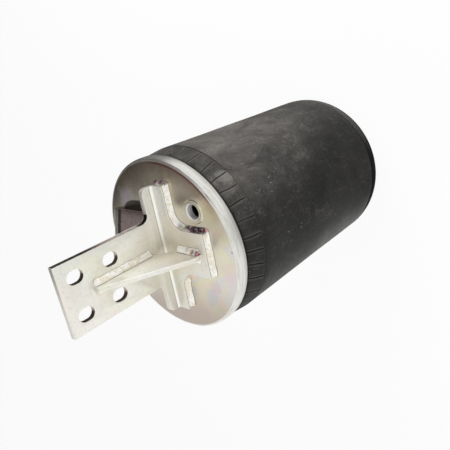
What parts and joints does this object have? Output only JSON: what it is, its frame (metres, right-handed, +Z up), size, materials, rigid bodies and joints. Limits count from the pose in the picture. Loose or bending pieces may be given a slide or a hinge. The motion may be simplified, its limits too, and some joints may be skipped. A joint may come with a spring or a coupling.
{
  "type": "air spring bellows",
  "caption": "Rolling lobe air spring: a crimped bead plate with a welded slotted bracket, a folding rubber sleeve and a piston that strokes along the axis.",
  "frame": {"origin": "middle of the piston's flat base, where the part stands", "axes": "+Z up along the stroke, from the piston's base to the bead plate; X along the bracket's bend; the bracket's slotted face with the gusset looks to -Y"},
  "size_m": [0.255, 0.2548, 0.582],
  "materials": {
    "zinc_plate": "bright zinc plate, pale grey-green with a faint pink and blue tint, soft brushed gloss",
    "zinc_weld": "zinc-plated weld beads, glossy, with dark spots",
    "sleeve_rubber": "dull charcoal rubber with dusty scuffs",
    "bead_wire": "coppered steel wire",
    "piston_paint": "black dip paint, half matt",
    "plain_steel": "zinc-plated steel",
    "buffer_rubber": "matt black rubber"
  },
  "bodies": {
    "piston": {"lower_bead_ring": "bead_wire", "piston_shell": "piston_paint", "piston_base": "piston_paint", "base_welds": "piston_paint", "base_nuts": "plain_steel", "centre_post": "plain_steel", "clamp_disc": "plain_steel", "clamp_bolt": "plain_steel", "clamp_washer": "plain_steel", "buffer_insert": "plain_steel", "buffer": "buffer_rubber"},
    "plate": {"bead_plate": "zinc_plate", "bracket": "zinc_plate", "front_gusset": "zinc_plate", "rear_gusset_left": "zinc_plate", "rear_gusset_right": "zinc_plate", "foot_welds": "zinc_weld", "front_gusset_welds": "zinc_weld", "rear_gusset_welds": "zinc_weld", "port_bush": "zinc_plate", "port_weld": "zinc_weld", "upper_bead_ring": "bead_wire", "sleeve": "sleeve_rubber"}
  },
  "joints": [
    {"name": "stroke", "type": "slide", "parent": "piston", "child": "plate", "axis": [0, 0, 1], "range_m": [-0.055, 0.2], "deforming": ["sleeve"]}
  ]
}
